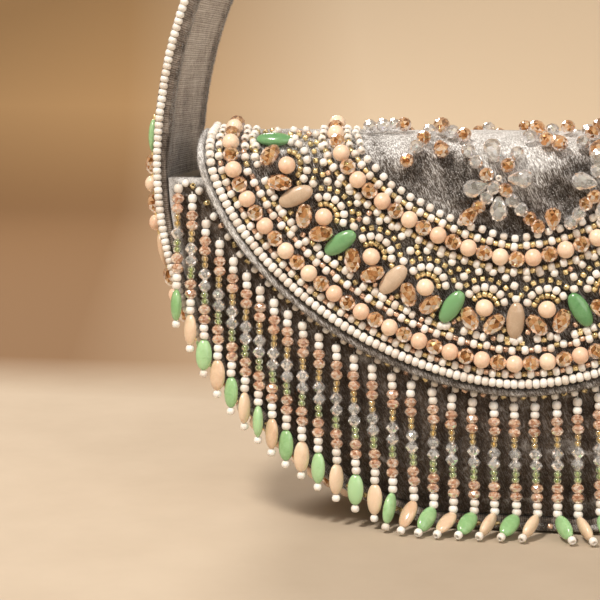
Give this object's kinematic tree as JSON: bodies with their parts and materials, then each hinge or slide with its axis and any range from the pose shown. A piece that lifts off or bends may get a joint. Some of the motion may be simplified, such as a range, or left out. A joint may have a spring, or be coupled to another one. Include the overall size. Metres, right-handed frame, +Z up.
{
  "type": "beaded clutch",
  "caption": "Half-moon velvet clutch on one band that is gusset and arched handle, with a beaded fold-over flap and a hanging bead fringe.",
  "frame": {"origin": "on the surface the clutch stands on, in the middle of the band's flat base", "axes": "+Z up, the flap and fringe face -Y, +X to the right as seen from the front"},
  "size_m": [0.24, 0.0716, 0.245],
  "materials": {
    "taupe_velvet": "crushed velvet with a silvery nap",
    "taupe_satin": "soft satin",
    "core_board": "fibre board",
    "white_seed_beads": "glossy opaque cream",
    "peach_beads": "glossy opaque peach",
    "amber_beads": "faceted champagne glass with a shimmer",
    "clear_beads": "clear faceted glass",
    "gold_seed_beads": "gold-lined glass",
    "copper_seed_beads": "copper-lined glass",
    "green_drops": "milky jade green",
    "beige_drops": "milky beige",
    "snap_steel": "satin nickel"
  },
  "bodies": {
    "bag": {"band_cover": "taupe_velvet", "band_stiffener": "core_board", "band_facing": "taupe_velvet", "rim_beads_front": "white_seed_beads", "rim_beads_back": "white_seed_beads", "front_panel": "taupe_velvet", "back_panel": "taupe_velvet", "lining_pouch": "taupe_satin", "magnet_socket": "snap_steel", "side_string_left": "peach_beads", "side_string_right": "peach_beads"},
    "flap_bridge": {"flap_bridge": "taupe_velvet"},
    "flap_front": {"flap_front": "taupe_velvet", "flap_piping": "taupe_velvet", "edge_seed_row": "white_seed_beads", "outer_bead_ring": "peach_beads", "inner_bead_ring": "amber_beads", "vine_garland": "beige_drops", "magnet_stud": "snap_steel"},
    "fringe_00": {"fringe_00": "green_drops"},
    "fringe_01": {"fringe_01": "beige_drops"},
    "fringe_02": {"fringe_02": "green_drops"},
    "fringe_03": {"fringe_03": "beige_drops"},
    "fringe_04": {"fringe_04": "green_drops"},
    "fringe_05": {"fringe_05": "beige_drops"},
    "fringe_06": {"fringe_06": "green_drops"},
    "fringe_07": {"fringe_07": "beige_drops"},
    "fringe_08": {"fringe_08": "green_drops"},
    "fringe_09": {"fringe_09": "beige_drops"},
    "fringe_10": {"fringe_10": "green_drops"},
    "fringe_11": {"fringe_11": "beige_drops"},
    "fringe_12": {"fringe_12": "green_drops"},
    "fringe_13": {"fringe_13": "beige_drops"},
    "fringe_14": {"fringe_14": "green_drops"},
    "fringe_15": {"fringe_15": "beige_drops"},
    "fringe_16": {"fringe_16": "green_drops"},
    "fringe_17": {"fringe_17": "beige_drops"},
    "fringe_18": {"fringe_18": "green_drops"},
    "fringe_19": {"fringe_19": "beige_drops"},
    "fringe_20": {"fringe_20": "green_drops"},
    "fringe_21": {"fringe_21": "beige_drops"},
    "fringe_22": {"fringe_22": "green_drops"},
    "fringe_23": {"fringe_23": "beige_drops"},
    "fringe_24": {"fringe_24": "green_drops"},
    "fringe_25": {"fringe_25": "beige_drops"},
    "fringe_26": {"fringe_26": "green_drops"},
    "fringe_27": {"fringe_27": "beige_drops"},
    "fringe_28": {"fringe_28": "green_drops"},
    "fringe_29": {"fringe_29": "beige_drops"},
    "fringe_30": {"fringe_30": "green_drops"},
    "fringe_31": {"fringe_31": "beige_drops"},
    "fringe_32": {"fringe_32": "green_drops"},
    "fringe_33": {"fringe_33": "beige_drops"},
    "fringe_34": {"fringe_34": "green_drops"},
    "fringe_35": {"fringe_35": "beige_drops"},
    "fringe_36": {"fringe_36": "green_drops"},
    "fringe_37": {"fringe_37": "beige_drops"},
    "fringe_38": {"fringe_38": "green_drops"},
    "fringe_39": {"fringe_39": "beige_drops"},
    "fringe_40": {"fringe_40": "green_drops"}
  },
  "joints": [
    {"name": "flap_back_fold", "type": "hinge", "parent": "bag", "child": "flap_bridge", "pos_m": [0, 0.0255, 0.11027], "axis": [-1, 0, 0], "range_deg": [0, 30]},
    {"name": "flap_front_fold", "type": "hinge", "parent": "flap_bridge", "child": "flap_front", "pos_m": [0, -0.006, 0.12467], "axis": [-1, 0, 0], "range_deg": [0, 100]},
    {"name": "fringe_00_swing", "type": "hinge", "parent": "bag", "child": "fringe_00", "pos_m": [-0.1065, -0.02732, 0.10877], "axis": [-1, 0, 0], "range_deg": [0, 85]},
    {"name": "fringe_01_swing", "type": "hinge", "parent": "bag", "child": "fringe_01", "pos_m": [-0.10213, -0.02732, 0.10572], "axis": [-1, 0, 0], "range_deg": [0, 85]},
    {"name": "fringe_02_swing", "type": "hinge", "parent": "bag", "child": "fringe_02", "pos_m": [-0.09777, -0.02732, 0.0977], "axis": [-1, 0, 0], "range_deg": [0, 85]},
    {"name": "fringe_03_swing", "type": "hinge", "parent": "bag", "child": "fringe_03", "pos_m": [-0.0934, -0.02732, 0.09133], "axis": [-1, 0, 0], "range_deg": [0, 85]},
    {"name": "fringe_04_swing", "type": "hinge", "parent": "bag", "child": "fringe_04", "pos_m": [-0.08903, -0.02732, 0.0859], "axis": [-1, 0, 0], "range_deg": [0, 85]},
    {"name": "fringe_05_swing", "type": "hinge", "parent": "bag", "child": "fringe_05", "pos_m": [-0.08467, -0.02732, 0.08113], "axis": [-1, 0, 0], "range_deg": [0, 85]},
    {"name": "fringe_06_swing", "type": "hinge", "parent": "bag", "child": "fringe_06", "pos_m": [-0.0803, -0.02732, 0.07684], "axis": [-1, 0, 0], "range_deg": [0, 85]},
    {"name": "fringe_07_swing", "type": "hinge", "parent": "bag", "child": "fringe_07", "pos_m": [-0.07593, -0.02732, 0.07296], "axis": [-1, 0, 0], "range_deg": [0, 85]},
    {"name": "fringe_08_swing", "type": "hinge", "parent": "bag", "child": "fringe_08", "pos_m": [-0.07146, -0.02732, 0.06933], "axis": [-1, 0, 0], "range_deg": [0, 85]},
    {"name": "fringe_09_swing", "type": "hinge", "parent": "bag", "child": "fringe_09", "pos_m": [-0.06678, -0.02732, 0.06584], "axis": [-1, 0, 0], "range_deg": [0, 85]},
    {"name": "fringe_10_swing", "type": "hinge", "parent": "bag", "child": "fringe_10", "pos_m": [-0.06166, -0.02732, 0.06238], "axis": [-1, 0, 0], "range_deg": [0, 85]},
    {"name": "fringe_11_swing", "type": "hinge", "parent": "bag", "child": "fringe_11", "pos_m": [-0.05613, -0.02732, 0.05897], "axis": [-1, 0, 0], "range_deg": [0, 85]},
    {"name": "fringe_12_swing", "type": "hinge", "parent": "bag", "child": "fringe_12", "pos_m": [-0.05037, -0.02732, 0.0558], "axis": [-1, 0, 0], "range_deg": [0, 85]},
    {"name": "fringe_13_swing", "type": "hinge", "parent": "bag", "child": "fringe_13", "pos_m": [-0.04452, -0.02732, 0.05291], "axis": [-1, 0, 0], "range_deg": [0, 85]},
    {"name": "fringe_14_swing", "type": "hinge", "parent": "bag", "child": "fringe_14", "pos_m": [-0.03845, -0.02732, 0.05027], "axis": [-1, 0, 0], "range_deg": [0, 85]},
    {"name": "fringe_15_swing", "type": "hinge", "parent": "bag", "child": "fringe_15", "pos_m": [-0.03216, -0.02732, 0.04789], "axis": [-1, 0, 0], "range_deg": [0, 85]},
    {"name": "fringe_16_swing", "type": "hinge", "parent": "bag", "child": "fringe_16", "pos_m": [-0.02577, -0.02732, 0.04585], "axis": [-1, 0, 0], "range_deg": [0, 85]},
    {"name": "fringe_17_swing", "type": "hinge", "parent": "bag", "child": "fringe_17", "pos_m": [-0.01938, -0.02732, 0.04419], "axis": [-1, 0, 0], "range_deg": [0, 85]},
    {"name": "fringe_18_swing", "type": "hinge", "parent": "bag", "child": "fringe_18", "pos_m": [-0.01299, -0.02732, 0.04291], "axis": [-1, 0, 0], "range_deg": [0, 85]},
    {"name": "fringe_19_swing", "type": "hinge", "parent": "bag", "child": "fringe_19", "pos_m": [-0.0065, -0.02732, 0.04203], "axis": [-1, 0, 0], "range_deg": [0, 85]},
    {"name": "fringe_20_swing", "type": "hinge", "parent": "bag", "child": "fringe_20", "pos_m": [0, -0.02732, 0.04167], "axis": [-1, 0, 0], "range_deg": [0, 85]},
    {"name": "fringe_21_swing", "type": "hinge", "parent": "bag", "child": "fringe_21", "pos_m": [0.0065, -0.02732, 0.04203], "axis": [-1, 0, 0], "range_deg": [0, 85]},
    {"name": "fringe_22_swing", "type": "hinge", "parent": "bag", "child": "fringe_22", "pos_m": [0.01299, -0.02732, 0.04291], "axis": [-1, 0, 0], "range_deg": [0, 85]},
    {"name": "fringe_23_swing", "type": "hinge", "parent": "bag", "child": "fringe_23", "pos_m": [0.01938, -0.02732, 0.04419], "axis": [-1, 0, 0], "range_deg": [0, 85]},
    {"name": "fringe_24_swing", "type": "hinge", "parent": "bag", "child": "fringe_24", "pos_m": [0.02577, -0.02732, 0.04585], "axis": [-1, 0, 0], "range_deg": [0, 85]},
    {"name": "fringe_25_swing", "type": "hinge", "parent": "bag", "child": "fringe_25", "pos_m": [0.03216, -0.02732, 0.04789], "axis": [-1, 0, 0], "range_deg": [0, 85]},
    {"name": "fringe_26_swing", "type": "hinge", "parent": "bag", "child": "fringe_26", "pos_m": [0.03845, -0.02732, 0.05027], "axis": [-1, 0, 0], "range_deg": [0, 85]},
    {"name": "fringe_27_swing", "type": "hinge", "parent": "bag", "child": "fringe_27", "pos_m": [0.04452, -0.02732, 0.05291], "axis": [-1, 0, 0], "range_deg": [0, 85]},
    {"name": "fringe_28_swing", "type": "hinge", "parent": "bag", "child": "fringe_28", "pos_m": [0.05037, -0.02732, 0.0558], "axis": [-1, 0, 0], "range_deg": [0, 85]},
    {"name": "fringe_29_swing", "type": "hinge", "parent": "bag", "child": "fringe_29", "pos_m": [0.05613, -0.02732, 0.05897], "axis": [-1, 0, 0], "range_deg": [0, 85]},
    {"name": "fringe_30_swing", "type": "hinge", "parent": "bag", "child": "fringe_30", "pos_m": [0.06166, -0.02732, 0.06238], "axis": [-1, 0, 0], "range_deg": [0, 85]},
    {"name": "fringe_31_swing", "type": "hinge", "parent": "bag", "child": "fringe_31", "pos_m": [0.06678, -0.02732, 0.06584], "axis": [-1, 0, 0], "range_deg": [0, 85]},
    {"name": "fringe_32_swing", "type": "hinge", "parent": "bag", "child": "fringe_32", "pos_m": [0.07146, -0.02732, 0.06933], "axis": [-1, 0, 0], "range_deg": [0, 85]},
    {"name": "fringe_33_swing", "type": "hinge", "parent": "bag", "child": "fringe_33", "pos_m": [0.07593, -0.02732, 0.07296], "axis": [-1, 0, 0], "range_deg": [0, 85]},
    {"name": "fringe_34_swing", "type": "hinge", "parent": "bag", "child": "fringe_34", "pos_m": [0.0803, -0.02732, 0.07684], "axis": [-1, 0, 0], "range_deg": [0, 85]},
    {"name": "fringe_35_swing", "type": "hinge", "parent": "bag", "child": "fringe_35", "pos_m": [0.08467, -0.02732, 0.08113], "axis": [-1, 0, 0], "range_deg": [0, 85]},
    {"name": "fringe_36_swing", "type": "hinge", "parent": "bag", "child": "fringe_36", "pos_m": [0.08903, -0.02732, 0.0859], "axis": [-1, 0, 0], "range_deg": [0, 85]},
    {"name": "fringe_37_swing", "type": "hinge", "parent": "bag", "child": "fringe_37", "pos_m": [0.0934, -0.02732, 0.09133], "axis": [-1, 0, 0], "range_deg": [0, 85]},
    {"name": "fringe_38_swing", "type": "hinge", "parent": "bag", "child": "fringe_38", "pos_m": [0.09777, -0.02732, 0.0977], "axis": [-1, 0, 0], "range_deg": [0, 85]},
    {"name": "fringe_39_swing", "type": "hinge", "parent": "bag", "child": "fringe_39", "pos_m": [0.10213, -0.02732, 0.10572], "axis": [-1, 0, 0], "range_deg": [0, 85]},
    {"name": "fringe_40_swing", "type": "hinge", "parent": "bag", "child": "fringe_40", "pos_m": [0.1065, -0.02732, 0.10877], "axis": [-1, 0, 0], "range_deg": [0, 85]}
  ]
}
